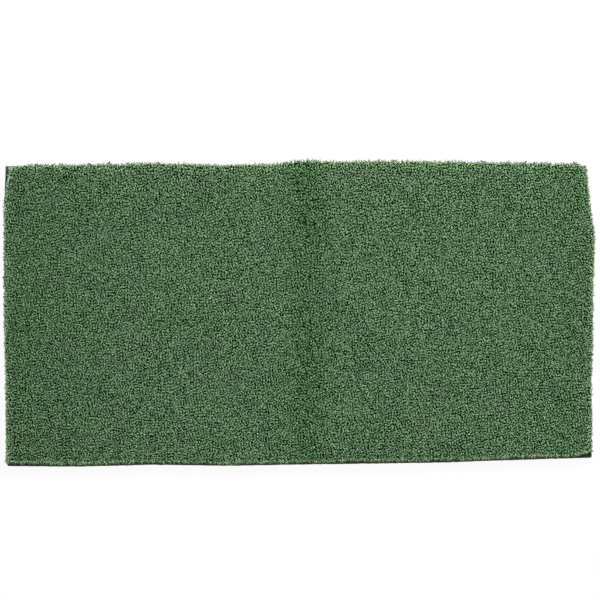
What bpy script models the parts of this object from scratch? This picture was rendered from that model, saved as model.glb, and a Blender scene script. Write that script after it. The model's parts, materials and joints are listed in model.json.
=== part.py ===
"""Golf hitting mat: tufted turf laminated to a foam pad, which folds in half along a crease.

The mat is a stack of bonded sheets. From the floor up it has a foam pad, a glue film, the latex
coat that locks the tufts, the woven backing that they are sewn through, and the pile. The crease
runs across the mat, a little to the right of the middle, and parts every sheet in a left and a
right half. The left half stays on the floor. The right half swings up and over it, pile to pile,
about a line along the crease at the height of the pile's tips.

The pile is sewn in rows along the mat's length. Neighbouring rows are joined in strips. A strip is
a dense root with one ridge for each row, and loose strands that stand out of the ridges.

Metres, +Z up, +X along the mat's length, +Y to its far edge. The origin is on the floor, under the
middle of the mat.
"""

import math
import random

import bmesh
import bpy
from mathutils import Matrix, Vector

# Outline of the mat and place of its crease
MAT_LENGTH = 0.610
MAT_DEPTH = 0.305
CREASE_OFFSET = 0.010  # from the middle of the mat to the crease

# Thickness of each sheet
PAD_THICKNESS = 0.0090
GLUE_THICKNESS = 0.0004
COAT_THICKNESS = 0.0012
BACKING_THICKNESS = 0.0007
GAP = 0.0003  # between pieces that lie against each other

# Rows of tufts
STRIPS = 13  # in each half
ROWS_PER_STRIP = 4
ROOT_HEIGHT = 0.0095  # dense part of the pile, up to the top of a ridge
GROOVE_DEPTH = 0.0025  # between two ridges
RIDGE_FLAT = 0.7  # share of a row's width that is the flat top of its ridge

# Loose strands
STRANDS_PER_STRIP = 17
STRAND_SIDES = 4
STRAND_FOOT_RADIUS = 0.0019
STRAND_TIP_RADIUS = 0.0007
STRAND_LENGTH = 0.0030  # that stands out of the root
STRAND_BURIED = 0.0030  # that is inside the root
STRAND_LEAN = 0.0020  # furthest that a tip stands from over its foot
ROW_STEP = 3  # rows from one strand to the next along a strip
LEAN_SEED = 11

# Places that follow from the sizes above
SHEETS = (
    ("foam_pad", PAD_THICKNESS),
    ("glue_film", GLUE_THICKNESS),
    ("latex_coat", COAT_THICKNESS),
    ("primary_backing", BACKING_THICKNESS),
)
PILE_FLOOR = sum(thickness + GAP for _, thickness in SHEETS)
PILE_TOP = PILE_FLOOR + ROOT_HEIGHT + STRAND_LENGTH
FOLD_AXIS = Vector((CREASE_OFFSET, 0.0, PILE_TOP + GAP / 2))
HALVES = {
    "left": (-MAT_LENGTH / 2, CREASE_OFFSET - GAP / 2),
    "right": (CREASE_OFFSET + GAP / 2, MAT_LENGTH / 2),
}
STRIP_PITCH = (MAT_DEPTH + GAP) / STRIPS
ROW_PITCH = (STRIP_PITCH - GAP) / ROWS_PER_STRIP

# Colour, roughness and metallic value of each material
FINISHES = {
    "foam_pad": ((0.018, 0.018, 0.019), 0.92, 0.0),
    "glue_film": ((0.300, 0.270, 0.190), 0.45, 0.0),
    "latex_coat": ((0.022, 0.022, 0.021), 0.75, 0.0),
    "primary_backing": ((0.014, 0.015, 0.014), 0.65, 0.0),
    "turf": ((0.074, 0.136, 0.067), 0.60, 0.0),
}


def clear_scene():
    for old in list(bpy.data.objects):
        bpy.data.objects.remove(old, do_unlink=True)


def make_collection(name):
    collection = bpy.data.collections.new(name)
    bpy.context.scene.collection.children.link(collection)
    return collection


def make_material(name):
    colour, roughness, metallic = FINISHES[name]
    material = bpy.data.materials.new(name)
    material.use_nodes = True
    shader = material.node_tree.nodes["Principled BSDF"]
    shader.inputs["Base Color"].default_value = (*colour, 1.0)
    shader.inputs["Roughness"].default_value = roughness
    shader.inputs["Metallic"].default_value = metallic
    return material


def move_to(obj, collection):
    for old in list(obj.users_collection):
        old.objects.unlink(obj)
    collection.objects.link(obj)


def hang_on(obj, pivot):
    """Parents obj to an empty and leaves it where it is."""
    obj.parent = pivot
    obj.matrix_parent_inverse = pivot.matrix_world.inverted()


def make_pivot(half, collection):
    """The empty that a half hangs on. Both lie on the fold's axis."""
    pivot = bpy.data.objects.new(half + "_half", None)
    pivot.location = FOLD_AXIS
    pivot.empty_display_size = MAT_DEPTH / 10
    collection.objects.link(pivot)
    bpy.context.view_layer.update()
    return pivot


def make_sheet(name, x_range, floor, thickness):
    """One half of a bonded sheet."""
    bpy.ops.mesh.primitive_cube_add(
        size=1.0, location=(sum(x_range) / 2, 0.0, floor + thickness / 2)
    )
    sheet = bpy.context.active_object
    sheet.name = name
    sheet.scale = (x_range[1] - x_range[0], MAT_DEPTH, thickness)
    bpy.ops.object.transform_apply(location=False, rotation=False, scale=True)
    return sheet


def ridge_outline():
    """Cross-section of a strip's root as (y, z), from its own near lower corner."""
    width = ROW_PITCH * ROWS_PER_STRIP
    slope = ROW_PITCH * (1 - RIDGE_FLAT) / 2
    outline = [(0.0, 0.0), (width, 0.0)]
    for row in reversed(range(ROWS_PER_STRIP)):
        near = row * ROW_PITCH
        outline.append((near + ROW_PITCH, ROOT_HEIGHT - GROOVE_DEPTH))
        outline.append((near + ROW_PITCH - slope, ROOT_HEIGHT))
        outline.append((near + slope, ROOT_HEIGHT))
    outline.append((0.0, ROOT_HEIGHT - GROOVE_DEPTH))
    return outline


def make_root(name, x_range, near):
    """The dense, ridged root of a strip: its cross-section extruded along the strip."""
    curve = bpy.data.curves.new(name + "_outline", "CURVE")
    curve.dimensions = "2D"
    curve.fill_mode = "BOTH"
    curve.extrude = (x_range[1] - x_range[0]) / 2
    outline = ridge_outline()
    spline = curve.splines.new("POLY")
    spline.points.add(len(outline) - 1)
    for point, (y, z) in zip(spline.points, outline):
        point.co = (y, z, 0.0, 1.0)
    spline.use_cyclic_u = True
    guide = bpy.data.objects.new(name + "_outline", curve)
    bpy.context.scene.collection.objects.link(guide)
    # The outline's x, y and extrusion become the mat's +Y, +Z and +X.
    turned = Matrix(((0, 0, 1), (1, 0, 0), (0, 1, 0))).to_4x4()
    guide.matrix_world = Matrix.Translation((sum(x_range) / 2, near, PILE_FLOOR)) @ turned
    bpy.context.view_layer.update()
    evaluated = guide.evaluated_get(bpy.context.evaluated_depsgraph_get())
    root = bpy.data.objects.new(name, bpy.data.meshes.new_from_object(evaluated))
    root.matrix_world = guide.matrix_world
    bpy.data.objects.remove(guide, do_unlink=True)
    weld(root.data)
    return root


def weld(mesh):
    """Joins the loose caps of a mesh that was made from a curve."""
    bm = bmesh.new()
    bm.from_mesh(mesh)
    bmesh.ops.remove_doubles(bm, verts=bm.verts, dist=GAP / 10)
    bmesh.ops.recalc_face_normals(bm, faces=bm.faces)
    bm.to_mesh(mesh)
    bm.free()


def strand_feet(x_range, near):
    """Where the strands of a strip stand: evenly along it, on one ridge after another."""
    reach = STRAND_FOOT_RADIUS + STRAND_LEAN
    first = x_range[0] + reach
    step = (x_range[1] - reach - first) / (STRANDS_PER_STRIP - 1)
    height = PILE_FLOOR + ROOT_HEIGHT - STRAND_BURIED
    for count in range(STRANDS_PER_STRIP):
        row = count * ROW_STEP % ROWS_PER_STRIP
        yield Vector((first + count * step, near + (row + 0.5) * ROW_PITCH, height))


def make_strands(name, x_range, near, leans):
    """The loose strands of a strip, each a tapered bar that leans a little its own way."""
    bm = bmesh.new()
    length = STRAND_BURIED + STRAND_LENGTH
    for foot in strand_feet(x_range, near):
        middle = foot + Vector((0.0, 0.0, length / 2))
        bar = bmesh.ops.create_cone(
            bm,
            cap_ends=True,
            segments=STRAND_SIDES,
            radius1=STRAND_FOOT_RADIUS,
            radius2=STRAND_TIP_RADIUS,
            depth=length,
            matrix=Matrix.Translation(middle),
        )
        tip = [vert for vert in bar["verts"] if vert.co.z > middle.z]
        angle = leans.uniform(0.0, 2 * math.pi)
        lean = leans.uniform(0.0, STRAND_LEAN)
        sideways = Vector((math.cos(angle), math.sin(angle), 0.0))
        bmesh.ops.translate(bm, verts=tip, vec=lean * sideways)
    mesh = bpy.data.meshes.new(name + "_strands")
    bm.to_mesh(mesh)
    bm.free()
    strands = bpy.data.objects.new(mesh.name, mesh)
    strands.hide_render = True
    strands.display_type = "WIRE"
    return strands


def make_strip(name, x_range, near, leans, cutters):
    """A strip of tuft rows: the root with its strands grown into it."""
    strip = make_root(name, x_range, near)
    strands = make_strands(name, x_range, near, leans)
    cutters.objects.link(strands)
    grown = strip.modifiers.new("strands", "BOOLEAN")
    grown.operation = "UNION"
    grown.object = strands
    return strip


def build_half(half, materials, parts, cutters, leans):
    """Every sheet and tuft strip of one half, hung on that half's pivot."""
    x_range = HALVES[half]
    pivot = make_pivot(half, parts)
    floor = 0.0
    for layer, thickness in SHEETS:
        sheet = make_sheet(f"{layer}_{half}", x_range, floor, thickness)
        sheet.data.materials.append(materials[layer])
        move_to(sheet, parts)
        hang_on(sheet, pivot)
        floor += thickness + GAP
    for count in range(STRIPS):
        near = -MAT_DEPTH / 2 + count * STRIP_PITCH
        name = f"tuft_strip_{half}_{count + 1:02d}"
        strip = make_strip(name, x_range, near, leans, cutters)
        strip.data.materials.clear()
        strip.data.materials.append(materials["turf"])
        parts.objects.link(strip)
        hang_on(strip, pivot)
        hang_on(strip.modifiers["strands"].object, pivot)


def main():
    clear_scene()
    parts = make_collection("golf_hitting_mat")
    cutters = make_collection("cutters")
    materials = {name: make_material(name) for name in FINISHES}
    leans = random.Random(LEAN_SEED)
    for half in HALVES:
        build_half(half, materials, parts, cutters, leans)


main()
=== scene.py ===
"""Looks of the golf hitting mat: crimped turf yarn on a black woven backing, bonded to a foam pad.

The sheets are whole here, with finer cells at the crease. The pile is made of curls of yarn, sewn in rows.
Metres, +Z up, +X along the mat's length and +Y to its far edge, as in the frame.
"""

import json
import math

import bpy
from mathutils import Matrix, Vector

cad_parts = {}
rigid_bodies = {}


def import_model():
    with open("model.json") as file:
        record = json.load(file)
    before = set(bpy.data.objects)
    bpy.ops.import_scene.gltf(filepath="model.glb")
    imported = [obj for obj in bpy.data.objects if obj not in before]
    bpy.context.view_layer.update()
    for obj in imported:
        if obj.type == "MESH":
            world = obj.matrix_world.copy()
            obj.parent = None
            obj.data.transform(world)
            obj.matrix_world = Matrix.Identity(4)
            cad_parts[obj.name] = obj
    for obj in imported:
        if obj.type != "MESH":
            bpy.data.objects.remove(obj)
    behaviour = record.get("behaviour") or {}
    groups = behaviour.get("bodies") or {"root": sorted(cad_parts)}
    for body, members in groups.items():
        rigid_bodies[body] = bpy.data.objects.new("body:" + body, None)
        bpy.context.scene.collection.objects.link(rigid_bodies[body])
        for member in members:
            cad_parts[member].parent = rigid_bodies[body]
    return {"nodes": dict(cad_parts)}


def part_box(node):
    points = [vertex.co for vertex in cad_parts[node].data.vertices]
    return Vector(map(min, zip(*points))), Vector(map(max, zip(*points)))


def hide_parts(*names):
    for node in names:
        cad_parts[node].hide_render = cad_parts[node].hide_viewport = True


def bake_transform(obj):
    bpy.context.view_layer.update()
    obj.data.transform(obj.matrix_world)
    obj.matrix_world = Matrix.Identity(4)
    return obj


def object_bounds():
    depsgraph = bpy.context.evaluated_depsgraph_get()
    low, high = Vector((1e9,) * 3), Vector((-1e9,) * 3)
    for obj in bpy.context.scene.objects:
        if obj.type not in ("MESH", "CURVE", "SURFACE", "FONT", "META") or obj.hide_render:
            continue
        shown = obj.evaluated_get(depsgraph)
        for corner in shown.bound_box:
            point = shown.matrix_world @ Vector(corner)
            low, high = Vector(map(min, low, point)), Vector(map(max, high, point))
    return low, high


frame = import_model()
CAD_LOW, CAD_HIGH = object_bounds()

# Places in the frame
HALF_LENGTH = CAD_HIGH.x
HALF_DEPTH = CAD_HIGH.y
PILE_TOP = CAD_HIGH.z
PILE_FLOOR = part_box("tuft_strip_left_01")[0].z
PILE_HEIGHT = PILE_TOP - PILE_FLOOR
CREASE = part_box("foam_pad_left")[1].x
STRIPS = sum(name.startswith("tuft_strip_left") for name in frame["nodes"])
STRIP_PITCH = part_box("tuft_strip_left_02")[0].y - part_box("tuft_strip_left_01")[0].y
ROWS_PER_STRIP = 4
ROW_PITCH = STRIP_PITCH / ROWS_PER_STRIP
LEVEL = 1e-5  # places that differ by less are level

# Bend at the crease
BEND_REACH = 0.024  # of the mat on each side of the crease that bends when it is folded
BEND_CUTS = 2  # of each cell of a sheet there

# How the soft mat lies: how far each edge bows out, in millimetres, at nine even steps along it
BOW_LEFT = (-2.0, -1.0, -0.5, 0.5, 1.8, 2.2, 2.4, 2.6, 1.8)  # from near to far
BOW_RIGHT = (3.0, 2.8, 2.6, 4.4, 4.6, 5.7, 6.8, 2.0, -1.7)
BOW_NEAR = (7.7, 8.2, 6.2, 7.4, 6.0, 5.0, 3.8, 1.0, -1.2)  # from left to right
BOW_FAR = (4.0, 3.0, 5.2, 3.0, 4.8, 7.4, 7.0, 5.3, 4.4)
MM_PER_M = 1000
BULGE = 0.0026  # of the far edge at the crease
BULGE_WIDTH = 0.020
CAGE_SPAN = 2.2  # of the lattice that holds this lie, in half lengths and half depths of the mat
CAGE_HEIGHT = 3 * PILE_TOP
CAGE_POINTS = (64, 33, 2)

# Sheets, from the floor up: the slot of each, how far it stands in from the edge of the mat, the steps
# that it is raised in, and how far its cut edge strays
SHEETS = {
    "foam_pad": ("foam", 0.0003, 3, 0.0003),
    "glue_film": ("glue", 0.0015, 1, 0.0006),
    "latex_coat": ("latex", 0.0004, 1, 0.0004),
    "primary_backing": ("backing", 0.0, 1, 0.0005),
}
SHEET_CELL = (0.004, 0.010)  # along the mat, and across it
SHEET_EDGE_ANGLE = math.radians(35)
CUT_SEED = 3
PILE_OVERHANG = 0.0003  # of the pile past the sheets, except at the near edge

# Roots of the pile
ROOT_HEIGHT = 0.0090
ROOT_GROOVE = 0.0012  # between two rows
ROOT_INSET = 0.0013  # from the edge of the mat
ROOT_CELLS = 80  # along the mat

# Yarn inside the mat and along its edge: how thick it is, where it starts above the backing, its rings of
# edges, the turns that it coils, and the degrees that it hooks over
CURL = {"radius": 0.00034, "foot": 0.0080, "rings": 3, "turns": 0.75, "hook": 35}
EDGE_CURL = {"radius": 0.00040, "foot": 0.0, "rings": 5, "turns": 1.3, "hook": 8}
CURL_SIDES = 3

# Kinds of curl, which coil and hook a little differently
CURL_KINDS = 10
COIL = 0.00050  # from the yarn to the line that it coils round
COIL_STEP = 0.00002  # from kind to kind
LEAST_TURN = 0.8  # share of the turns that the first kind makes
TURN_STEP = 0.04
LEAST_HOOK = 0.85  # share of the hook that the first kind has
HOOK_SPREAD = 0.15
HOOK_STEP = 0.37  # of that spread from kind to kind, starting again when it is full

# Stitches
YARNS_PER_ROW = 4  # side by side across a row
STITCH = 0.00147  # along a row
ROW_SQUEEZE = 0.00005  # of the yarns towards the middle of their row
EDGE_STITCH = 0.0004  # along the edge
EDGE_BAND = 0.0018  # that the whole yarns along the edge fill
SIZES = (0.985, 1.015)  # of a yarn, by chance
TURNS_IN_STRETCH = 7.0  # yarns that hook to and fro before their order breaks
STRETCH_SKEW = 3.0  # yarns between that break and the one in the next line
LINE_NUMBERS = 1000.0  # more than the lines of yarn
STRIP_SEEDS = 100  # between one strip's seed and the next
EDGE_SEED = 5000
CELL_MARGIN = 0.1  # of a yarn's own cell on the OFBake map

# How the pile parts at the crease
PARTING_WIDTH = 0.020  # of the pile that leans off the crease
PARTING_LEAN = 0.14
PARTING_LOSS = 0.02  # share of the curls that are missing along the crease
PIT_SCALE = 330.0  # of the noise that opens pits there
PIT_STRETCH = 0.5  # of that scale along the crease, so that the pits are long
PIT_BAND = (0.64, 0.70)  # of that noise, from no pit to a bare one
PIT_FOCUS = 2.0  # the power that keeps the pits to the crease
CREASE_PRESS = 0.02  # by which the yarn is shorter there
CREASE_SHADE = 0.12  # by which it is darker there
FAR_END = (0.05, 0.13)  # the stretch of the crease, towards the far edge, over which it gets clearer
FAR_END_SHARE = (0.8, 1.5)  # of how clear it is elsewhere

# How the pile stands along the edges
EDGE_REACH = 0.006  # of the pile that leans out over the edge
EDGE_LEANS = {"left": 0.02, "right": 0.03, "near": -0.02, "far": 0.06}
CREASE_FLARE = 1.5  # by which the far edge leans out more at the crease
CLUMP_SCALE = 90.0  # of the noise that leans neighbouring yarns the same way
NEAR_WEAR = 0.0009  # that the yarn stands back from the near edge, here and there
NEAR_WEAR_SCALE = 25.0
NEAR_WEAR_BAND = (0.45, 0.65)

# Corners where the pile is worn off: the side that it is worn along, how far, the side that it is worn
# from, and how deep
WORN_CORNERS = (
    ("right", 0.022, "near", 0.0056),
    ("far", 0.046, "left", 0.0062),
    ("left", 0.036, "far", 0.0054),
    ("right", 0.010, "far", 0.0070),
    ("left", 0.160, "near", 0.0020),
)
WEAR_CHANCE = (0.7, 1.2)  # of that depth, from yarn to yarn
INWARDS = {"left": (1, 0), "right": (-1, 0), "near": (0, 1), "far": (0, -1)}  # along and across the mat

# Tone of the yarn by chance, and the light and shade painted on it by the sides of the mat: the side each
# is towards, how far in it starts, and by how much the yarn is painted lighter at that side, darker below 0
TONES = (0.42, 0.58)
PAINTED_LIGHT_BY_SIDE = (
    ("left", 0.008, 1.3),
    ("right", 0.008, 1.4),
    ("near", 0.006, -1.4),
    ("far", 0.008, 2.5),
    ("left", 0.130, -0.36),
    ("right", 0.080, -0.22),
    ("far", 0.030, 0.15),
)
MOST_TONE = 1.7  # of a yarn near two sides
TONE_RANGE = (-1.0, 3.0)
TONE_STRENGTH = (0.65, 1.85)  # of the yarn's colour, over that range
PAINTED_SHEEN_RED = 1.5  # the power by which red grows as yarn gets lighter, so that light yarn is greyer as painted sheen, and dark yarn a deeper green as painted shade
PAINTED_SHEEN_BLUE = 1.6

# Tint of the yarn, which is at most 0.6 inside the mat, greener at 0.8, and dark at 1 as painted shade on
# the side of the pile along the edge
INNER_TINT = 0.3
OWN_TINT = 0.6  # the most that a yarn has by chance
EDGE_TINT_BAND = (0.002, 0.008)  # from the edge, over which the tint of the edge fades
EDGE_TINT_CHANCE = (0.70, 1.0)
TINT_PATCH_SCALE = 60.0
TINT_PATCH_BAND = (0.35, 0.6)
TINT_PATCHES = (0.94, 1.0)
FAR_TINT = 0.8  # the least along the far edge: greener, as painted light on the lit fringe there
FAR_TINT_BAND = (0.004, 0.010)

# How the yarn is sewn inside the mat, and along its edge
SEWING = {
    "stray": 0.25 * STITCH,  # of a yarn from its stitch
    "lean": 0.02,  # of a yarn by itself
    "drift": 0.0,  # that neighbouring yarns lean the same way
    "inset": ROOT_INSET,  # of the outermost yarns from the edge
    "lift": 0.0,  # how far the painted shade at a yarn's foot is raised towards the colour of its tip
    "edge_tint": 0.9,  # tint at the edge
    # light and shade painted on the yarn by the sides of the mat
    "painted_light": PAINTED_LIGHT_BY_SIDE,
    "worn": WORN_CORNERS,
    "loose": 0.8,  # radians that a yarn turns to either side of its way
}
EDGE_SEWING = {
    "stray": EDGE_BAND / 2,
    "lean": 0.06,
    "drift": 0.10,
    "inset": 0.0002,
    "lift": 0.80,
    # the darkest tint at the edge: painted shade on the side of the pile
    "edge_tint": 1.1,
    "painted_light": (),
    "worn": (),
    "loose": math.pi,
}

# Frayed threads of the backing: the edge that each stands out of, and its place along it
FRAYED_THREADS = (
    ("far", -0.268), ("far", -0.259), ("far", -0.211), ("far", -0.203), ("far", -0.190),
    ("far", 0.193), ("far", 0.202), ("far", 0.235), ("far", 0.255), ("far", 0.289), ("far", 0.299),
    ("left", 0.037), ("left", -0.135), ("left", -0.141), ("left", -0.146), ("left", -0.150),
    ("right", -0.089),
)
THREAD_SIDES = 5
THREAD_RINGS = 5
THREAD_RADII = {"far": 0.0008, "left": 0.00045, "right": 0.00045}
THREAD_LENGTHS = {"far": 0.0092, "left": 0.0045, "right": 0.0045}
THREAD_SHARES = (0.8, 0.9, 1.0, 1.1)  # of that length, in turn
THREAD_BENDS = (25, 40, 55)  # degrees, in turn
THREAD_SLANTS = {"far": 0.95, "left": 0.3, "right": 0.3}  # off square to the edge, to either side
THREAD_TURNS = {"far": 0.0, "left": math.pi / 2, "right": -math.pi / 2}
THREAD_BURIED = 0.0020

# Finishes
# Scale of the noise that paints light and shade of the yarn's crimp along it, and varies its roughness
CRIMP_SCALE = 900.0
FIBRE_SCALE = 3500.0
ROOT_STRAND_SCALE = 330.0
FOAM_CELL_SCALE = 800.0
TAPE_PITCHES = {"X": 0.0021, "Y": 0.0026}
GRAIN_DETAIL = 3.0
NOISE_BAND = (0.3, 0.7)  # that most of a noise lies in

# Light, floor and camera
WORLD_LIGHT = 0.4
KEY_PLACE = (0.7, 0.9, 2.4)
KEY_SIZE = 0.5
KEY_POWER = 75.0
FLOOR_SIZE = 40.0
FLOOR_DROP = 0.0002  # below the mat
FLOOR_GREY = (0.85, 0.85, 0.85, 1)
FLOOR_WHITE = 0.94  # share of plain white where the floor is seen directly
WHITE = (1, 1, 1, 1)
CAMERA_ELEVATION = math.radians(82)
CAMERA_DISTANCE = 7.0
CAMERA_TARGET = (0.003, 0.0, 0.015)
CAMERA_SHIFT = 0.0215
CAMERA_CLIP = 100.0
SENSOR_WIDTH = 36.0  # millimetres
VIEW_WIDTH = 0.6285


# Tools for modelling

def pick(*objects):
    """Makes these objects the whole selection, and the first one active."""
    bpy.ops.object.select_all(action="DESELECT")
    for obj in objects:
        obj.select_set(True)
    bpy.context.view_layer.objects.active = objects[0] if objects else None


def new_piece(name):
    """Names the primitive that was just added."""
    piece = bpy.context.active_object
    piece.name = name
    piece.data.name = name
    return piece


def apply_all(piece):
    """Applies the piece's modifiers and its place, so that its mesh holds its whole shape."""
    pick(piece)
    for modifier in list(piece.modifiers):
        bpy.ops.object.modifier_apply(modifier=modifier.name)
    bpy.ops.object.transform_apply(location=True, rotation=True, scale=True)


def dress(piece, material):
    piece.data.materials.clear()
    piece.data.materials.append(material)


def divide_edges(piece, chosen, cuts):
    """Divides each edge that chosen is true of, given its two ends."""
    bpy.ops.object.mode_set(mode="EDIT")
    bpy.ops.mesh.select_mode(type="EDGE")
    bpy.ops.mesh.select_all(action="DESELECT")
    bpy.ops.object.mode_set(mode="OBJECT")
    for edge in piece.data.edges:
        edge.select = chosen(*(piece.data.vertices[index].co for index in edge.vertices))
    bpy.ops.object.mode_set(mode="EDIT")
    bpy.ops.mesh.subdivide(number_cuts=cuts)
    bpy.ops.object.mode_set(mode="OBJECT")


def make_grid(name, cells, size, middle):
    """A level grid of cells, of this size along and across the mat."""
    pick()
    bpy.ops.mesh.primitive_grid_add(
        x_subdivisions=cells[0], y_subdivisions=cells[1], size=1.0, location=middle
    )
    grid = new_piece(name)
    grid.scale = (*size, 1.0)
    bpy.ops.object.transform_apply(location=True, rotation=False, scale=True)
    return grid


class Nodes:
    """A node tree under way."""

    def __init__(self, tree):
        self.tree = tree

    def add(self, kind, links=None, **values):
        """Adds a node, sets its properties, and fills its inputs from sockets or constants."""
        node = self.tree.nodes.new(kind)
        for name, value in values.items():
            setattr(node, name, value)
        for socket, value in (links or {}).items():
            target = node.inputs[socket]
            if isinstance(value, bpy.types.NodeSocket):
                self.tree.links.new(value, target)
            else:
                target.default_value = value
        return node

    def maths(self, operation, *terms):
        return self.add("ShaderNodeMath", dict(enumerate(terms)), operation=operation).outputs[0]

    def ranged(self, value, low, high, to_low=0.0, to_high=1.0):
        """Takes a value from one range to another, and holds it there."""
        return self.add("ShaderNodeMapRange", {
            "Value": value, "From Min": low, "From Max": high, "To Min": to_low, "To Max": to_high,
        }).outputs[0]

    def vector(self, **parts):
        """A vector with these parts of X, Y and Z."""
        return self.add("ShaderNodeCombineXYZ", parts).outputs[0]

    def split(self, vector):
        return self.add("ShaderNodeSeparateXYZ", {"Vector": vector}).outputs

    def product(self, one, other):
        """Two vectors or colours, multiplied part by part."""
        return self.add("ShaderNodeVectorMath", {0: one, 1: other}, operation="MULTIPLY").outputs[0]

    def noise(self, place, scale, detail):
        links = {"Vector": place, "Scale": scale, "Detail": detail}
        return self.add("ShaderNodeTexNoise", links).outputs

    def on_piece(self):
        """The place on the piece itself."""
        return self.add("ShaderNodeTexCoord").outputs["Object"]

    def seen_directly(self):
        """1 where the camera sees the surface, by itself or in gloss or glass."""
        path = self.add("ShaderNodeLightPath").outputs
        mirrored = self.maths("MAXIMUM", path["Is Glossy Ray"], path["Is Transmission Ray"])
        return self.maths("MAXIMUM", path["Is Camera Ray"], mirrored)


# Lie of the mat

def bow(edge, place):
    """How far an edge bows out at a place from -1 to 1 along it."""
    step = (min(max(place, -1.0), 1.0) + 1) / 2 * (len(edge) - 1)
    index = min(int(step), len(edge) - 2)
    part = step - index
    return (edge[index] * (1 - part) + edge[index + 1] * part) / MM_PER_M


def lie(u, v):
    """How far a point of the flat rectangle is out of place. u and v run from -1 to 1."""
    left, right = -bow(BOW_LEFT, v), bow(BOW_RIGHT, v)
    near, far = -bow(BOW_NEAR, u), bow(BOW_FAR, u)
    off_crease = (u * HALF_LENGTH - CREASE) / BULGE_WIDTH
    far += BULGE * math.exp(-off_crease * off_crease)
    return (
        left + (right - left) * (u + 1) / 2,
        near + (far - near) * (v + 1) / 2,
    )


def make_lie_cage():
    """A lattice that holds the lie of the mat, for every sheet and strip to take."""
    pick()
    bpy.ops.object.add(type="LATTICE", location=(0, 0, PILE_TOP / 2))
    cage = bpy.context.active_object
    cage.name = "lie_cage"
    cage.scale = (CAGE_SPAN * HALF_LENGTH, CAGE_SPAN * HALF_DEPTH, CAGE_HEIGHT)
    shape = cage.data
    shape.points_u, shape.points_v, shape.points_w = CAGE_POINTS
    shape.interpolation_type_u = "KEY_CATMULL_ROM"
    shape.interpolation_type_v = "KEY_CATMULL_ROM"
    for point in shape.points:
        dx, dy = lie(CAGE_SPAN * point.co.x, CAGE_SPAN * point.co.y)
        point.co_deform.x += dx / cage.scale.x
        point.co_deform.y += dy / cage.scale.y
    return cage


def lay(piece, cage):
    """Gives a piece the lie of the mat."""
    piece.modifiers.new("lie", "LATTICE").object = cage


def bend_at_crease(piece):
    """Bakes the piece's place into its mesh."""
    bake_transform(piece)


# Materials

def grain_group():
    """Shader group: soft mottling and fine grain, for a material to set its own sizes of."""
    nodes = Nodes(bpy.data.node_groups.new("grain", "ShaderNodeTree"))
    masks = ("Mottle", "Grain")
    for name in masks:
        scale = name + " Scale"
        nodes.tree.interface.new_socket(scale, in_out="INPUT", socket_type="NodeSocketFloat")
    for name in masks:
        nodes.tree.interface.new_socket(name, in_out="OUTPUT", socket_type="NodeSocketFloat")
    given = nodes.add("NodeGroupInput").outputs
    place = nodes.on_piece()
    found = {}
    for name in masks:
        noise = nodes.noise(place, given[name + " Scale"], GRAIN_DETAIL)
        found[name] = nodes.ranged(noise["Fac"], *NOISE_BAND)
    nodes.add("NodeGroupOutput", found)
    return nodes.tree


class Finish(Nodes):
    """A material under way: its node tree and its shader."""

    def __init__(self, name, specular):
        self.material = bpy.data.materials.new(name)
        self.material.use_nodes = True
        super().__init__(self.material.node_tree)
        self.shader = self.tree.nodes["Principled BSDF"]
        self.shader.inputs["Specular IOR Level"].default_value = specular

    def feed(self, socket, source):
        self.tree.links.new(source, self.shader.inputs[socket])

    def grain(self, group, mottle_scale, grain_scale):
        """The masks of the grain group, at these sizes."""
        node = self.add("ShaderNodeGroup", node_tree=group)
        node.inputs["Mottle Scale"].default_value = mottle_scale
        node.inputs["Grain Scale"].default_value = grain_scale
        return node.outputs["Mottle"], node.outputs["Grain"]

    def colours(self, value, *steps):
        """A colour ramp over value. Each step is (place, colour)."""
        ramp = self.add("ShaderNodeValToRGB", {"Fac": value})
        elements = ramp.color_ramp.elements
        while len(elements) < len(steps):
            elements.new(0.5)
        for element, (place, colour) in zip(elements, steps):
            element.position = place
            element.color = (*colour, 1.0)
        return ramp.outputs["Color"]

    def roughness(self, mask, low, high):
        """Makes the surface as rough as low where the mask is 0, and as high where it is 1."""
        self.feed("Roughness", self.ranged(mask, 0, 1, low, high))

    def bump(self, height, strength, distance):
        links = {"Height": height, "Strength": strength, "Distance": distance}
        self.feed("Normal", self.add("ShaderNodeBump", links).outputs["Normal"])


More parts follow.
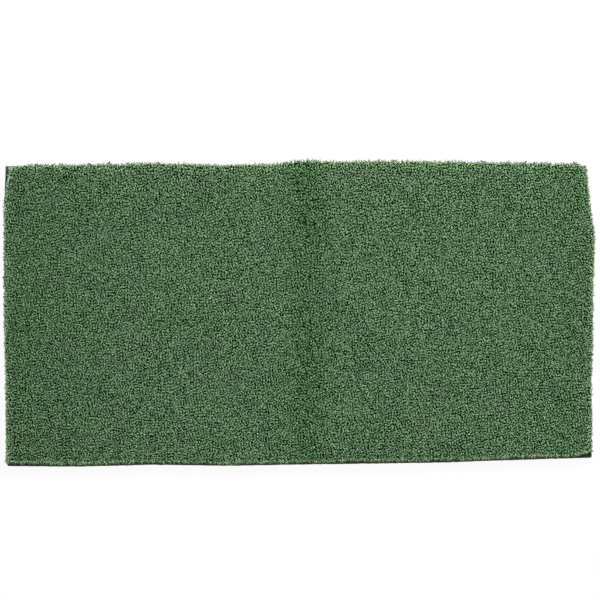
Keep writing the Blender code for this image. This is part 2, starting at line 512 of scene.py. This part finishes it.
def yarn_finish():
    """Crimped yarn. Each yarn has its own tone and tint, which also carry painted light and shade; along its
    crimp it is painted lighter and darker, towards its root painted dark as the shade deep in the pile, and
    where it is lighter painted greyer as sheen.
    """
    finish = Finish("turf_yarn", specular=0.2)
    rise, tone, tint = (
        finish.add("ShaderNodeAttribute", attribute_name=name).outputs["Fac"]
        for name in ("rise", "tone", "tint")
    )
    # Painted shade and sheen: the yarn is darker down towards its root, deep in the pile, and paler at its
    # tip
    base = finish.colours(
        rise,
        (0.62, (0.004, 0.050, 0.002)),
        (0.78, (0.121, 0.426, 0.079)),
        (1.0, (0.630, 0.840, 0.585)),
    )
    place = finish.on_piece()
    crimp = finish.noise(place, CRIMP_SCALE, 1.0)["Fac"]
    # Painted light and shade of the yarn's crimp: lighter and darker by turns along it
    painted_crimp_shade = finish.ranged(crimp, 0.40, 0.60, to_low=0.7, to_high=1.3)
    strength = finish.maths("MULTIPLY", painted_crimp_shade, finish.ranged(tone, *TONE_RANGE, *TONE_STRENGTH))
    # Painted sheen and shade: lighter yarn is greyer, darker yarn a deeper green
    painted_sheen = finish.vector(
        X=finish.maths("POWER", strength, PAINTED_SHEEN_RED),
        Y=strength,
        Z=finish.maths("POWER", strength, PAINTED_SHEEN_BLUE),
    )
    # Tint: dark at 1, as painted shade on the side of the pile along the edge
    tints = finish.colours(
        tint,
        (0.0, (0.65, 0.63, 0.54)),
        (0.3, (0.60, 0.66, 0.60)),
        (0.6, (0.55, 0.67, 0.62)),
        (0.8, (0.565, 0.705, 0.475)),
        (1.0, (0.295, 0.295, 0.250)),
    )
    finish.feed("Base Color", finish.product(finish.product(base, painted_sheen), tints))
    finish.feed("Roughness", finish.ranged(crimp, *NOISE_BAND, to_low=0.62, to_high=0.42))
    finish.bump(finish.noise(place, FIBRE_SCALE, 1.0)["Fac"], strength=0.3, distance=0.0002)
    return finish.material


def root_finish(group):
    """Roots of the yarn, deep in the pile, painted nearly black-green as the shade there. They run where a
    noise crosses its middle.
    """
    finish = Finish("turf_roots", specular=0.05)
    mottle, _ = finish.grain(group, mottle_scale=120.0, grain_scale=900.0)
    field = finish.noise(finish.on_piece(), ROOT_STRAND_SCALE, 0.0)["Fac"]
    off_middle = finish.maths("ABSOLUTE", finish.maths("SUBTRACT", field, 0.5))
    strand = finish.ranged(off_middle, 0.0, 0.10, to_low=1.0, to_high=0.0)
    # Painted shade: darkest off the strands, where the bump dips
    finish.feed("Base Color", finish.colours(
        strand,
        (0.1, (0.002, 0.018, 0.001)),
        (0.55, (0.015, 0.075, 0.009)),
        (1.0, (0.055, 0.165, 0.040)),
    ))
    finish.roughness(mottle, 0.7, 0.95)
    finish.bump(strand, strength=1.0, distance=0.0012)
    return finish.material


def foam_finish(group):
    """Black closed-cell foam: small round cells, with a dusty mottling."""
    finish = Finish("black_foam", specular=0.25)
    mottle, grain = finish.grain(group, mottle_scale=45.0, grain_scale=700.0)
    links = {"Vector": finish.on_piece(), "Scale": FOAM_CELL_SCALE}
    cells = finish.add("ShaderNodeTexVoronoi", links).outputs["Distance"]
    round_cells = finish.ranged(cells, 0.1, 0.6)
    # Painted shade: each cell is darker in its hollow, where the bump dips, half and half with the mottling
    shade = finish.maths("MULTIPLY_ADD", mottle, 0.5, finish.maths("MULTIPLY", round_cells, 0.5))
    finish.feed("Base Color", finish.colours(
        shade, (0.1, (0.010, 0.010, 0.011)), (0.9, (0.034, 0.034, 0.036)),
    ))
    finish.roughness(grain, 0.82, 0.97)
    finish.bump(round_cells, strength=0.5, distance=0.0005)
    return finish.material


def glue_finish(group):
    """Amber glue, smeared, with small bubbles."""
    finish = Finish("amber_glue", specular=0.5)
    mottle, grain = finish.grain(group, mottle_scale=90.0, grain_scale=600.0)
    finish.feed("Base Color", finish.colours(
        mottle, (0.1, (0.20, 0.165, 0.095)), (0.9, (0.34, 0.30, 0.20)),
    ))
    finish.roughness(grain, 0.3, 0.6)
    finish.bump(grain, strength=0.4, distance=0.0003)
    return finish.material


def latex_finish(group):
    """Black latex, brushed on: mottled, half matt and a little uneven."""
    finish = Finish("black_latex", specular=0.4)
    mottle, grain = finish.grain(group, mottle_scale=60.0, grain_scale=350.0)
    finish.feed("Base Color", finish.colours(
        mottle, (0.1, (0.012, 0.012, 0.012)), (0.9, (0.030, 0.030, 0.029)),
    ))
    finish.roughness(grain, 0.5, 0.78)
    finish.bump(grain, strength=0.5, distance=0.0006)
    return finish.material


def backing_finish(group):
    """Black tape cloth: flat tapes that pass over and under each other."""
    finish = Finish("black_tape_cloth", specular=0.5)
    mottle, grain = finish.grain(group, mottle_scale=80.0, grain_scale=1500.0)
    place = finish.split(finish.on_piece())
    tapes = [finish.maths("DIVIDE", place[way], pitch) for way, pitch in TAPE_PITCHES.items()]
    counts = [finish.maths("FLOOR", tape) for tape in tapes]
    crowns = []
    for tape in tapes:
        across = finish.maths("MULTIPLY", finish.maths("FRACT", tape), math.pi)
        crowns.append(finish.maths("SINE", across))
    over = finish.maths("PINGPONG", finish.maths("ADD", *counts), 1.0)
    weave = finish.add("ShaderNodeMix", {"Factor": over, "A": crowns[0], "B": crowns[1]}).outputs[0]
    # Painted shade: each tape is darker towards its sides, where the bump dips under the next, over the
    # mottling
    shade = finish.maths("MULTIPLY", weave, finish.ranged(mottle, 0, 1, to_low=0.6, to_high=1.0))
    finish.feed("Base Color", finish.colours(
        shade, (0.1, (0.005, 0.005, 0.005)), (0.9, (0.024, 0.025, 0.024)),
    ))
    finish.roughness(grain, 0.42, 0.66)
    finish.bump(weave, strength=0.8, distance=0.0004)
    return finish.material


# Yarn

def make_bar(name, sides, radius, length, rings, aside=0.0):
    """A thin bar that stands on the floor, with rings of edges for twisting and bending."""
    pick()
    bpy.ops.mesh.primitive_cylinder_add(vertices=sides, radius=radius, depth=length)
    bar = new_piece(name)
    bar.location = (aside, 0, length / 2)
    divide_edges(bar, lambda a, b: abs(a.z - b.z) > length / 2, rings - 1)
    bpy.ops.object.transform_apply(location=True, rotation=False, scale=False)
    bpy.ops.object.shade_smooth()
    return bar


def deform(piece, method, axis, angle):
    change = piece.modifiers.new(method.lower(), "SIMPLE_DEFORM")
    change.deform_method = method
    change.deform_axis = axis
    change.angle = angle


def make_curls(name, radius, foot, rings, turns, hook):
    """The kinds of curl that the pile is sewn from: bars coiled round a line beside them, and bent over.

    Every other kind coils the other way.
    """
    kinds = bpy.data.collections.new(name)
    for index in range(CURL_KINDS):
        coil = COIL + COIL_STEP * index
        curl = make_bar(f"{name}_{index}", CURL_SIDES, radius, PILE_HEIGHT - foot, rings, coil)
        own_turns = turns * (LEAST_TURN + TURN_STEP * index) * (-1) ** index
        own_hook = hook * (LEAST_HOOK + HOOK_SPREAD * (HOOK_STEP * index % 1))
        deform(curl, "TWIST", "Z", 2 * math.pi * own_turns)
        deform(curl, "BEND", "X", math.radians(own_hook))
        apply_all(curl)
        curl.location.z = foot
        apply_all(curl)
        for old in list(curl.users_collection):
            old.objects.unlink(curl)
        kinds.objects.link(curl)
    return kinds


def drop_kinds(kinds):
    for curl in list(kinds.objects):
        bpy.data.objects.remove(curl)


class Sewing(Nodes):
    """Node group that sews yarns on points, each with its own lean, turn, size, tone and tint."""

    def __init__(self, name, kinds, count, stray, lean, drift, inset, lift, edge_tint, painted_light, worn, loose):
        super().__init__(bpy.data.node_groups.new(name, "GeometryNodeTree"))
        for socket, way, kind in (
            ("Geometry", "INPUT", "NodeSocketGeometry"),
            ("Seed", "INPUT", "NodeSocketInt"),
            ("Geometry", "OUTPUT", "NodeSocketGeometry"),
        ):
            self.tree.interface.new_socket(socket, in_out=way, socket_type=kind)
        given = self.add("NodeGroupInput").outputs
        self.seed = given["Seed"]
        self.uses = 0
        self.place = self.add("GeometryNodeInputPosition").outputs[0]
        self.x, self.y, self.z = self.split(self.place)
        self.sides = {
            "left": self.maths("ADD", self.x, HALF_LENGTH),
            "right": self.maths("SUBTRACT", HALF_LENGTH, self.x),
            "near": self.maths("ADD", self.y, HALF_DEPTH),
            "far": self.maths("SUBTRACT", HALF_DEPTH, self.y),
        }
        self.from_crease = self.maths("DIVIDE", self.maths("SUBTRACT", self.x, CREASE), PARTING_WIDTH)
        square = self.maths("POWER", self.from_crease, 2.0)
        self.at_crease = self.maths("EXPONENT", self.maths("MULTIPLY", square, -1.0))
        squeeze = self.maths("MULTIPLY", self.row_wave(), ROW_SQUEEZE)
        points = self.moved(given["Geometry"], self.vector(Y=squeeze))
        strays = Vector((stray, stray, 0.0))
        points = self.moved(points, self.chance(-strays, strays, "FLOAT_VECTOR"))
        points = self.add("GeometryNodeDeleteGeometry", {
            "Geometry": points, "Selection": self.bare(inset, worn),
        }, domain="POINT").outputs["Geometry"]
        yarns = self.planted(points, kinds, self.leans(lean, drift), loose)
        yarns = self.store(yarns, "tone", self.tone(painted_light), "INSTANCE")
        yarns = self.store(yarns, "tint", self.tint(edge_tint), "INSTANCE")
        yarns = self.store(yarns, "cell", self.add("GeometryNodeInputIndex").outputs[0], "INSTANCE")
        pile = self.add("GeometryNodeRealizeInstances", {"Geometry": yarns}).outputs["Geometry"]
        height = self.maths("SUBTRACT", self.z, PILE_FLOOR)
        rise = self.ranged(height, 0.0, PILE_HEIGHT, to_low=lift, to_high=1.0)
        pile = self.store(pile, "rise", rise, "POINT")
        self.add("NodeGroupOutput", {"Geometry": self.unroll(pile, count)})

    def random(self, low, high, kind, **links):
        node = self.add("FunctionNodeRandomValue", links, data_type=kind)
        sockets = {"FLOAT_VECTOR": (0, 1, 0), "FLOAT": (2, 3, 1), "INT": (4, 5, 2)}
        lowest, highest, result = sockets[kind]
        node.inputs[lowest].default_value = low
        node.inputs[highest].default_value = high
        return node.outputs[result]

    def chance(self, low, high, kind="FLOAT"):
        """A random value for each yarn. Each use has its own seed."""
        self.uses += 1
        return self.random(low, high, kind, Seed=self.maths("ADD", self.seed, self.uses))

    def store(self, geometry, name, value, domain, kind="FLOAT"):
        return self.add("GeometryNodeStoreNamedAttribute", {
            "Geometry": geometry, "Name": name, "Value": value,
        }, data_type=kind, domain=domain).outputs["Geometry"]

    def stored(self, name, kind):
        links = {"Name": name}
        return self.add("GeometryNodeInputNamedAttribute", links, data_type=kind).outputs[0]

    def moved(self, points, offset):
        links = {"Geometry": points, "Offset": offset}
        return self.add("GeometryNodeSetPosition", links).outputs["Geometry"]

    def row_wave(self):
        """Goes from 0 through 1, 0 and -1 to 0 again across each row."""
        across = self.maths("DIVIDE", self.sides["near"], ROW_PITCH)
        return self.maths("SINE", self.maths("MULTIPLY", across, 2 * math.pi))

    def to_edge(self):
        """How far a yarn is from the nearest edge of the mat."""
        nearest = self.sides["left"]
        for side in ("right", "near", "far"):
            nearest = self.maths("MINIMUM", nearest, self.sides[side])
        return nearest

    def far_end(self):
        """By how much more the crease shows towards the far edge."""
        return self.ranged(self.y, *FAR_END, *FAR_END_SHARE)

    def loss(self):
        """The share of the yarns that is missing: a few along the crease, and most in its pits."""
        stretched = self.vector(X=self.x, Y=self.maths("MULTIPLY", self.y, PIT_STRETCH))
        spot = self.ranged(self.noise(stretched, PIT_SCALE, 0.0)["Fac"], *PIT_BAND)
        pit = self.maths("MULTIPLY", spot, self.maths("POWER", self.at_crease, PIT_FOCUS))
        few = self.maths("MULTIPLY", self.at_crease, PARTING_LOSS)
        return self.maths("MULTIPLY", self.maths("MAXIMUM", few, pit), self.far_end())

    def bare(self, inset, worn):
        """Where no yarn stands: close to the edge, here and there at the crease, and at worn corners."""
        bare = self.maths("LESS_THAN", self.to_edge(), inset)
        patch = self.noise(self.vector(X=self.x), NEAR_WEAR_SCALE, 2.0)["Fac"]
        back = self.ranged(patch, *NEAR_WEAR_BAND, to_low=0.0, to_high=NEAR_WEAR)
        bare = self.maths("MAXIMUM", bare, self.maths("LESS_THAN", self.sides["near"], back))
        lost = self.maths("LESS_THAN", self.chance(0.0, 1.0), self.loss())
        bare = self.maths("MAXIMUM", bare, lost)
        for along, reach, across, depth in worn:
            wedge = self.ranged(self.sides[along], 0.0, reach, to_low=depth, to_high=0.0)
            wedge = self.maths("MULTIPLY", wedge, self.chance(*WEAR_CHANCE))
            bare = self.maths("MAXIMUM", bare, self.maths("LESS_THAN", self.sides[across], wedge))
        return bare

    def leans(self, lean, drift):
        """How far a yarn leans along the mat and across it."""
        clump = self.split(self.noise(self.place, CLUMP_SCALE, 1.0)["Color"])
        drifts = [self.maths("MULTIPLY_ADD", clump[way], drift, -drift / 2) for way in ("X", "Y")]
        off_crease = self.maths("MULTIPLY", self.from_crease, self.at_crease)
        off_crease = self.maths("MULTIPLY", off_crease, PARTING_LEAN)
        off_crease = self.maths("MULTIPLY", off_crease, self.far_end())
        out = {
            side: self.ranged(self.sides[side], 0.0, EDGE_REACH, to_low=most, to_high=0.0)
            for side, most in EDGE_LEANS.items()
        }
        flare = self.maths("MULTIPLY_ADD", self.at_crease, CREASE_FLARE, 1.0)
        off_ends = self.maths("SUBTRACT", out["right"], out["left"])
        off_sides = self.maths("SUBTRACT", self.maths("MULTIPLY", out["far"], flare), out["near"])
        found = []
        for with_clump, others in zip(drifts, ((off_crease, off_ends), (off_sides,))):
            total = self.maths("ADD", with_clump, self.chance(-lean, lean))
            for other in others:
                total = self.maths("ADD", total, other)
            found.append(total)
        return found

    def turns(self):
        """The ways that a yarn hooks along and across the mat, 1 and -1 by turns from yarn to yarn.

        A line of yarns goes on by turns for a stretch, and then starts anew by chance.
        """
        counts = [
            self.maths("FLOOR", self.maths("DIVIDE", self.sides[side], step))
            for side, step in (("left", STITCH), ("near", ROW_PITCH / YARNS_PER_ROW))
        ]
        ways = []
        for own, line in (counts, reversed(counts)):
            stretch = self.maths("MULTIPLY_ADD", line, STRETCH_SKEW, own)
            stretch = self.maths("FLOOR", self.maths("DIVIDE", stretch, TURNS_IN_STRETCH))
            number = self.maths("MULTIPLY_ADD", stretch, LINE_NUMBERS, line)
            start = self.random(0, 1, "INT", ID=number)
            odd = self.maths("FLOORED_MODULO", self.maths("ADD", own, start), 2.0)
            ways.append(self.maths("MULTIPLY_ADD", odd, -2.0, 1.0))
        return ways

    def planted(self, points, kinds, leans, loose):
        """A yarn of some kind on each point."""
        stand = self.add("FunctionNodeAlignRotationToVector", {
            "Vector": self.vector(X=leans[0], Y=leans[1], Z=1.0),
        }, axis="Z", pivot_axis="AUTO")
        way = self.maths("ARCTAN2", *self.turns())
        spin = self.add("FunctionNodeAxisAngleToRotation", {
            "Axis": (0, 0, 1), "Angle": self.maths("ADD", way, self.chance(-loose, loose)),
        })
        turned = self.add("FunctionNodeRotateRotation", {
            "Rotation": stand.outputs[0], "Rotate By": spin.outputs[0],
        }, rotation_space="LOCAL")
        curls = self.add("GeometryNodeCollectionInfo", {
            "Collection": kinds, "Separate Children": True, "Reset Children": True,
        })
        pressed = self.maths("MULTIPLY_ADD", self.at_crease, -CREASE_PRESS, 1.0)
        return self.add("GeometryNodeInstanceOnPoints", {
            "Points": points,
            "Instance": curls.outputs["Instances"],
            "Pick Instance": True,
            "Instance Index": self.chance(0, CURL_KINDS - 1, "INT"),
            "Rotation": turned.outputs[0],
            "Scale": self.maths("MULTIPLY", self.chance(*SIZES), pressed),
        }).outputs["Instances"]

    def tone(self, painted_light):
        """How bright each yarn is: about 0.5 inside the mat by chance, with painted shade at the crease, and
        light and shade painted by its sides.
        """
        total = self.chance(*TONES)
        total = self.maths("ADD", total, self.maths("MULTIPLY", self.at_crease, -CREASE_SHADE))
        for side, reach, painted_lightness in painted_light:
            at_side = self.ranged(self.sides[side], 0.0, reach, to_low=painted_lightness, to_high=0.0)
            total = self.maths("ADD", total, at_side)
        return self.maths("MINIMUM", total, MOST_TONE)

    def tint(self, edge_tint):
        """A tint for each yarn: by chance inside the mat, and up to edge_tint, in patches, near its edges,
        where the darkest tint is painted shade.

        The far edge has a least tint of its own, greener, as painted light on its lit fringe.
        """
        patch = self.noise(self.place, TINT_PATCH_SCALE, 1.0)["Fac"]
        patches = self.ranged(patch, *TINT_PATCH_BAND, *TINT_PATCHES)
        at_edge = self.ranged(self.to_edge(), *EDGE_TINT_BAND, to_low=edge_tint, to_high=INNER_TINT)
        at_edge = self.maths("MULTIPLY", at_edge, patches)
        at_edge = self.maths("MULTIPLY", at_edge, self.chance(*EDGE_TINT_CHANCE))
        at_far = self.ranged(self.sides["far"], *FAR_TINT_BAND, to_low=FAR_TINT, to_high=0.0)
        least = self.maths("MAXIMUM", at_edge, at_far)
        return self.maths("MAXIMUM", least, self.chance(0.0, OWN_TINT))

    def unroll(self, pile, count):
        """Gives each yarn a cell of its own on the map named OFBake."""
        side = math.ceil(math.sqrt(count))
        cell = self.stored("cell", "FLOAT")
        flat = self.split(self.stored("UVMap", "FLOAT_VECTOR"))
        column = self.maths("MODULO", cell, side)
        row = self.maths("FLOOR", self.maths("DIVIDE", cell, side))
        spots = []
        for spot, step in ((flat["X"], column), (flat["Y"], row)):
            inside = self.maths("MULTIPLY_ADD", spot, 1 - 2 * CELL_MARGIN, CELL_MARGIN)
            spots.append(self.maths("DIVIDE", self.maths("ADD", inside, step), side))
        pile = self.store(pile, "OFBake", self.vector(X=spots[0], Y=spots[1]), "CORNER", "FLOAT2")
        for name in ("UVMap", "cell"):
            links = {"Geometry": pile, "Name": name}
            pile = self.add("GeometryNodeRemoveAttribute", links).outputs["Geometry"]
        return pile


def sew(piece, sewing, seed, cage, material):
    """Sews yarn on a grid of points and gives it the lie of the mat."""
    rows = piece.modifiers.new("rows", "NODES")
    rows.node_group = sewing.tree
    rows["Socket_1"] = seed
    lay(piece, cage)
    apply_all(piece)
    dress(piece, material)


def make_strip(index, along, across, sewing, cage, material):
    """The curls of a strip of sewn rows, over the whole length of the mat."""
    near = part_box(f"tuft_strip_left_{index:02d}")[0].y
    size = (2 * HALF_LENGTH * (1 - 1 / along), STRIP_PITCH * (1 - 1 / across))
    middle = (0.0, near + STRIP_PITCH / 2, PILE_FLOOR)
    strip = make_grid(f"tuft_strip_{index:02d}", (along - 1, across - 1), size, middle)
    sew(strip, sewing, STRIP_SEEDS * index, cage, material)
    return strip


def make_strips(cage, material):
    """Every strip of sewn rows, from the near edge to the far one."""
    kinds = make_curls("curl", **CURL)
    along = round(2 * HALF_LENGTH / STITCH)
    across = ROWS_PER_STRIP * YARNS_PER_ROW
    sewing = Sewing("sewing", kinds, along * across, **SEWING)
    strips = []
    for index in range(1, STRIPS + 1):
        strip = make_strip(index, along, across, sewing, cage, material)
        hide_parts(f"tuft_strip_left_{index:02d}", f"tuft_strip_right_{index:02d}")
        strips.append(strip)
    drop_kinds(kinds)
    return strips


def off_worn_corners(x, y):
    """Moves a point out of the places where the pile is worn off."""
    for along, reach, across, depth in WORN_CORNERS:
        sides = {
            "left": x + HALF_LENGTH,
            "right": HALF_LENGTH - x,
            "near": y + HALF_DEPTH,
            "far": HALF_DEPTH - y,
        }
        short = max(depth * (1 - sides[along] / reach) - sides[across], 0.0)
        x += short * INWARDS[across][0]
        y += short * INWARDS[across][1]
    return x, y


def wear_corners(piece):
    """Draws a piece back from the worn corners."""
    for vertex in piece.data.vertices:
        vertex.co.x, vertex.co.y = off_worn_corners(vertex.co.x, vertex.co.y)


def make_edge_yarns(cage, material):
    """Whole yarns along the cut edge, where the pile shows from its side."""
    kinds = make_curls("edge_curl", **EDGE_CURL)
    length, depth = 2 * HALF_LENGTH, 2 * HALF_DEPTH
    size = (length - EDGE_BAND, depth - EDGE_BAND)
    lines = [
        make_grid("edge_line", cells, size, (0, 0, PILE_FLOOR))
        for cells in ((round(length / EDGE_STITCH), 1), (1, round(depth / EDGE_STITCH)))
    ]
    pick(*lines)
    bpy.ops.object.join()
    edge = new_piece("edge_yarns")
    wear_corners(edge)
    sewing = Sewing("edge_sewing", kinds, len(edge.data.vertices), **EDGE_SEWING)
    sew(edge, sewing, EDGE_SEED, cage, material)
    drop_kinds(kinds)
    return edge


# Sheets

def in_bend(a, b):
    """Whether an edge runs along the mat, in the stretch that bends."""
    return abs(a.y - b.y) < LEVEL and abs((a.x + b.x) / 2 - CREASE) < BEND_REACH


def make_slab(name, low, high, cells, steps):
    """A closed sheet of grid cells, raised in steps so that its edge has rings of its own.

    Its cells are finer where it bends, so that the bend is round.
    """
    size = high - low
    slab = make_grid(name, cells, size.xy, ((low.x + high.x) / 2, (low.y + high.y) / 2, low.z))
    divide_edges(slab, in_bend, BEND_CUTS)
    bpy.ops.object.mode_set(mode="EDIT")
    bpy.ops.mesh.select_all(action="SELECT")
    for _ in range(steps):
        bpy.ops.mesh.extrude_region_move(TRANSFORM_OT_translate={"value": (0, 0, size.z / steps)})
    bpy.ops.mesh.select_all(action="SELECT")
    bpy.ops.mesh.normals_make_consistent(inside=False)
    bpy.ops.object.mode_set(mode="OBJECT")
    return slab


def make_roots(cage, material):
    """The dense roots of the pile: one ridge for each row."""
    rows = STRIPS * ROWS_PER_STRIP
    low = Vector((-HALF_LENGTH + ROOT_INSET, -HALF_DEPTH + ROOT_INSET, PILE_FLOOR))
    high = Vector((HALF_LENGTH - ROOT_INSET, HALF_DEPTH - ROOT_INSET, PILE_FLOOR + ROOT_HEIGHT))
    roots = make_slab("tuft_roots", low, high, (ROOT_CELLS, 2 * rows), 1)
    for vertex in roots.data.vertices:
        across = (vertex.co.y - low.y) / (high.y - low.y) * 2 * rows
        vertex.select = vertex.co.z > high.z - LEVEL and round(across) % 2 == 0
    bpy.ops.object.mode_set(mode="EDIT")
    bpy.ops.transform.translate(value=(0, 0, -ROOT_GROOVE))
    bpy.ops.object.mode_set(mode="OBJECT")
    wear_corners(roots)
    lay(roots, cage)
    apply_all(roots)
    dress(roots, material)
    return roots


def make_sheet(node, inset, steps, ragged, cage, material):
    """A whole sheet in the place of the two halves of a CAD sheet. ragged is how far its cut edge strays."""
    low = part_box(node + "_left")[0] + Vector((inset + PILE_OVERHANG, inset, 0))
    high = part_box(node + "_right")[1] - Vector((inset + PILE_OVERHANG, inset + PILE_OVERHANG, 0))
    cells = [round(length / cell) for length, cell in zip(high - low, SHEET_CELL)]
    sheet = make_slab(node, low, high, cells, steps)
    for vertex in sheet.data.vertices:
        x, y, _ = vertex.co
        vertex.select = min(x - low.x, high.x - x, y - low.y, high.y - y) < LEVEL
    bpy.ops.object.mode_set(mode="EDIT")
    bpy.ops.transform.vertex_random(offset=ragged, normal=0.0, seed=CUT_SEED)
    bpy.ops.object.mode_set(mode="OBJECT")
    for vertex in sheet.data.vertices:
        vertex.co.z = min(max(vertex.co.z, low.z), high.z)
    lay(sheet, cage)
    apply_all(sheet)
    bpy.ops.object.shade_smooth_by_angle(angle=SHEET_EDGE_ANGLE)
    dress(sheet, material)
    return sheet


def make_sheets(cage, group):
    """Every sheet under the pile, by its name."""
    finishes = {
        "foam_pad": foam_finish,
        "glue_film": glue_finish,
        "latex_coat": latex_finish,
        "primary_backing": backing_finish,
    }
    sheets = {}
    for node, (_, inset, steps, ragged) in SHEETS.items():
        sheet = make_sheet(node, inset, steps, ragged, cage, finishes[node](group))
        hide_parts(node + "_left", node + "_right")
        sheets[node] = sheet
    return sheets


def make_threads(cage, material):
    """Frayed threads of the backing, which stand out of its cut edge and turn up."""
    end = HALF_LENGTH - THREAD_BURIED
    threads = []
    for index, (side, along) in enumerate(FRAYED_THREADS):
        radius = THREAD_RADII[side]
        length = THREAD_LENGTHS[side] * THREAD_SHARES[index % len(THREAD_SHARES)]
        thread = make_bar(f"thread_{index}", THREAD_SIDES, radius, length, THREAD_RINGS)
        deform(thread, "TWIST", "Z", math.pi)
        deform(thread, "BEND", "X", -math.radians(THREAD_BENDS[index % len(THREAD_BENDS)]))
        apply_all(thread)
        slant = THREAD_SLANTS[side] * (-1) ** index
        thread.rotation_euler = (-math.pi / 2, 0.0, THREAD_TURNS[side] + slant)
        spots = {"far": (along, HALF_DEPTH - THREAD_BURIED), "left": (-end, along), "right": (end, along)}
        thread.location = (*spots[side], PILE_FLOOR - radius)
        apply_all(thread)
        threads.append(thread)
    pick(*threads)
    bpy.ops.object.join()
    frayed = new_piece("frayed_threads")
    lay(frayed, cage)
    apply_all(frayed)
    dress(frayed, material)
    return frayed


# Stage

def light_world():
    """An even light all round, which is white where it is seen directly."""
    world = bpy.data.worlds.new("studio")
    bpy.context.scene.world = world
    world.use_nodes = True
    nodes = Nodes(world.node_tree)
    light = world.node_tree.nodes["Background"]
    light.inputs["Color"].default_value = WHITE
    strength = nodes.ranged(nodes.seen_directly(), 0, 1, to_low=WORLD_LIGHT, to_high=1.0)
    world.node_tree.links.new(strength, light.inputs["Strength"])


def floor_finish():
    """A pale floor that keeps the shadow of the mat and is nearly white where it is seen directly."""
    material = bpy.data.materials.new("pale_floor")
    material.use_nodes = True
    nodes = Nodes(material.node_tree)
    nodes.tree.nodes.clear()
    diffuse = nodes.add("ShaderNodeBsdfDiffuse", {"Color": FLOOR_GREY})
    white = nodes.add("ShaderNodeEmission", {"Color": WHITE, "Strength": 1.0})
    shown = nodes.maths("MULTIPLY", nodes.seen_directly(), FLOOR_WHITE)
    mix = nodes.add("ShaderNodeMixShader", {0: shown, 1: diffuse.outputs[0], 2: white.outputs[0]})
    nodes.add("ShaderNodeOutputMaterial", {"Surface": mix.outputs[0]})
    return material


def lay_floor():
    pick()
    bpy.ops.mesh.primitive_plane_add(size=FLOOR_SIZE, location=(0, 0, -FLOOR_DROP))
    floor = new_piece("floor")
    floor.data.materials.append(floor_finish())


def hang_key_light():
    """A soft lamp, high up beyond the far right corner."""
    pick()
    bpy.ops.object.light_add(type="AREA", location=KEY_PLACE)
    key = bpy.context.active_object
    key.name = "key_light"
    key.data.size = KEY_SIZE
    key.data.energy = KEY_POWER
    key.rotation_euler = (-key.location).to_track_quat("-Z", "Y").to_euler()


def set_camera():
    """The camera, high over the near edge."""
    pick()
    bpy.ops.object.camera_add()
    camera = bpy.context.active_object
    away = Vector((0, -math.cos(CAMERA_ELEVATION), math.sin(CAMERA_ELEVATION)))
    camera.location = Vector(CAMERA_TARGET) + away * CAMERA_DISTANCE
    camera.rotation_euler = (-away).to_track_quat("-Z", "Y").to_euler()
    camera.data.sensor_width = SENSOR_WIDTH
    camera.data.lens = SENSOR_WIDTH * CAMERA_DISTANCE / VIEW_WIDTH
    camera.data.shift_y = CAMERA_SHIFT
    camera.data.clip_end = CAMERA_CLIP
    bpy.context.scene.camera = camera


def set_stage():
    bpy.context.scene.view_settings.view_transform = "Standard"
    light_world()
    lay_floor()
    hang_key_light()
    set_camera()


def main():
    set_stage()
    cage = make_lie_cage()
    group = grain_group()
    yarn = yarn_finish()
    pile = make_strips(cage, yarn)
    pile.append(make_roots(cage, root_finish(group)))
    pile.append(make_edge_yarns(cage, yarn))
    sheets = make_sheets(cage, group)
    backing = sheets["primary_backing"]
    threads = make_threads(cage, backing.data.materials[0])
    pieces = [(piece, "turf") for piece in pile]
    pieces += [(sheet, SHEETS[node][0]) for node, sheet in sheets.items()]
    pieces.append((threads, "backing"))
    for piece, slot in pieces:
        bend_at_crease(piece)
    bpy.data.objects.remove(cage)


main()
